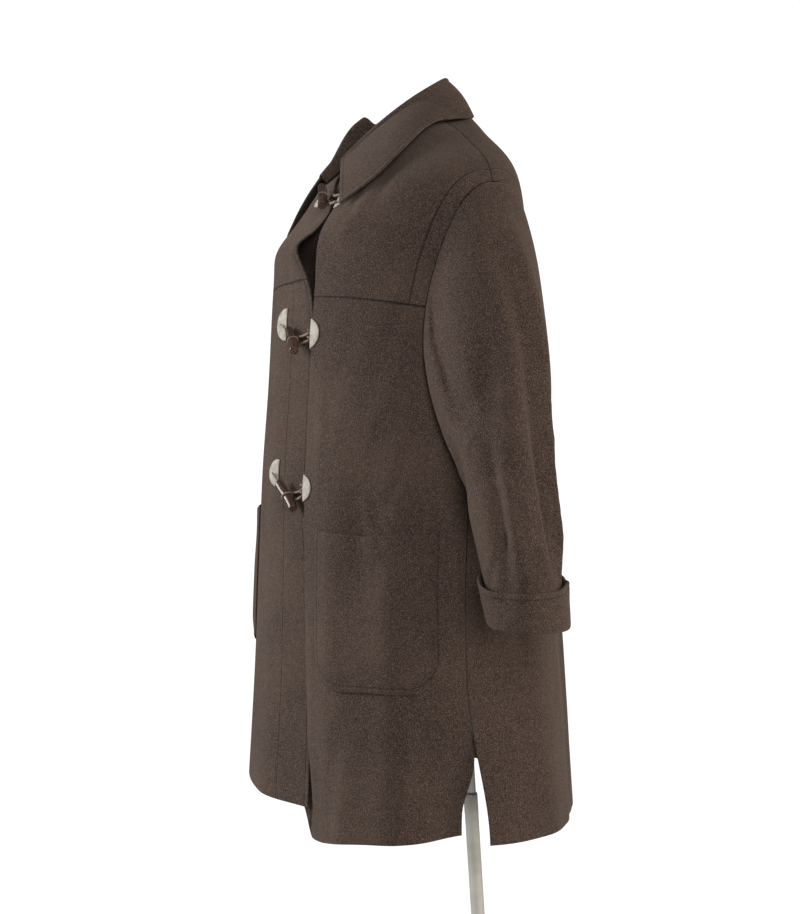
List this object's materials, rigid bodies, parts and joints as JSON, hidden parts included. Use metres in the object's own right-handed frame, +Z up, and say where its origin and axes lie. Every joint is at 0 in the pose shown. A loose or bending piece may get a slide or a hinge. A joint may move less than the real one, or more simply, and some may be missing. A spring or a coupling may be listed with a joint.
{
  "type": "duffle coat on a dress form",
  "caption": "Three-quarter-length wool duffle coat with toggles, patch pockets, turned-up cuffs and side vents, shown on a limbless dress form with a pole and round base.",
  "frame": {"origin": "centre of the round base's underside, on the floor", "axes": "+Z up, -Y towards the front of the coat, +X towards its wearer's left side"},
  "size_m": [0.7504, 0.5238, 1.4337],
  "materials": {
    "wool": "matte",
    "patch_leather": "matte",
    "horn": "gloss",
    "thong": "matte",
    "form_cover": "matte",
    "pole_metal": "satin",
    "base_enamel": "satin"
  },
  "bodies": {
    "root": {"back": "wool", "front_left": "wool", "front_right": "wool", "yoke_left": "wool", "yoke_right": "wool", "sleeve_left": "wool", "sleeve_right": "wool", "cuff_left": "wool", "cuff_right": "wool", "collar": "wool", "pocket_left": "wool", "pocket_right": "wool", "patch_left_1": "patch_leather", "patch_left_2": "patch_leather", "patch_left_3": "patch_leather", "patch_right_1": "patch_leather", "patch_right_2": "patch_leather", "patch_right_3": "patch_leather", "toggle_1": "horn", "toggle_2": "horn", "toggle_3": "horn", "cord_1": "thong", "cord_2": "thong", "cord_3": "thong", "loop_1": "thong", "loop_2": "thong", "loop_3": "thong", "form_torso": "form_cover", "pole_inner": "pole_metal", "pole_outer": "pole_metal", "pole_hub": "base_enamel", "base": "base_enamel"}
  },
  "joints": []
}
